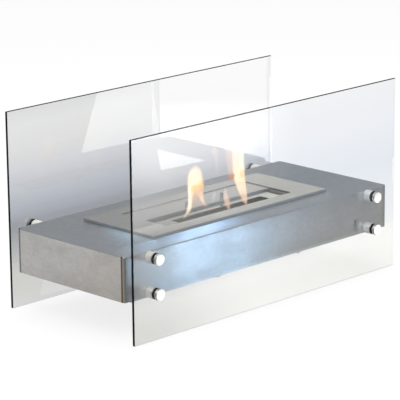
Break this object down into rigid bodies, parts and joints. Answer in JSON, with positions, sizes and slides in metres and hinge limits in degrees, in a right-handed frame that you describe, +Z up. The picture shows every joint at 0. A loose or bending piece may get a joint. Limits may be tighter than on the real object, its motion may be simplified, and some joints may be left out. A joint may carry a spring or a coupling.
{
  "type": "bioethanol fireplace",
  "caption": "Free-standing tabletop bioethanol fireplace: a low steel body between two clear glass panels, with a lift-out burner and a sliding lid over its fire slot.",
  "frame": {"origin": "middle of the footprint, on the surface that the glass panels stand on", "axes": "+X along the long side, -Y is the front, towards which the lid closes, +Z up"},
  "size_m": [0.65, 0.325, 0.347],
  "materials": {
    "body_steel": "brushed along the length",
    "burner_steel": "fine satin",
    "tank_steel": "mill finish, heat-stained",
    "polished_steel": "mirror polished",
    "clear_glass": "clear toughened float glass with ground edges",
    "black_gasket": "matt",
    "clear_bush": "moulded",
    "white_fibre": "felted ceramic fibre",
    "zinc_fasteners": "bright zinc"
  },
  "bodies": {
    "root": {"body_shell": "body_steel", "bottom_cover": "body_steel", "clinch_nuts": "zinc_fasteners", "cover_screws": "zinc_fasteners", "front_fixing_screws": "zinc_fasteners", "front_glass": "clear_glass", "front_glass_bushes": "clear_bush", "front_inner_gaskets": "black_gasket", "front_lower_left_cap": "polished_steel", "front_lower_left_post": "polished_steel", "front_lower_right_cap": "polished_steel", "front_lower_right_post": "polished_steel", "front_outer_gaskets": "black_gasket", "front_upper_left_cap": "polished_steel", "front_upper_left_post": "polished_steel", "front_upper_right_cap": "polished_steel", "front_upper_right_post": "polished_steel", "front_washers": "zinc_fasteners", "rear_fixing_screws": "zinc_fasteners", "rear_glass": "clear_glass", "rear_glass_bushes": "clear_bush", "rear_inner_gaskets": "black_gasket", "rear_lower_left_cap": "polished_steel", "rear_lower_left_post": "polished_steel", "rear_lower_right_cap": "polished_steel", "rear_lower_right_post": "polished_steel", "rear_outer_gaskets": "black_gasket", "rear_upper_left_cap": "polished_steel", "rear_upper_left_post": "polished_steel", "rear_upper_right_cap": "polished_steel", "rear_upper_right_post": "polished_steel", "rear_washers": "zinc_fasteners"},
    "burner": {"burner_frame": "burner_steel", "burner_tank": "tank_steel", "slotted_plate": "burner_steel", "ceramic_wool": "white_fibre", "left_lid_rail": "tank_steel", "right_lid_rail": "tank_steel"},
    "lid": {"regulator_lid": "burner_steel", "left_lid_knob": "polished_steel", "right_lid_knob": "polished_steel", "knob_screws": "zinc_fasteners"}
  },
  "joints": [
    {"name": "burner_lift", "type": "slide", "parent": "root", "child": "burner", "axis": [0, 0, 1], "range_m": [0, 0.265]},
    {"name": "lid_slide", "type": "slide", "parent": "burner", "child": "lid", "axis": [0, -1, 0], "range_m": [0, 0.056]}
  ]
}
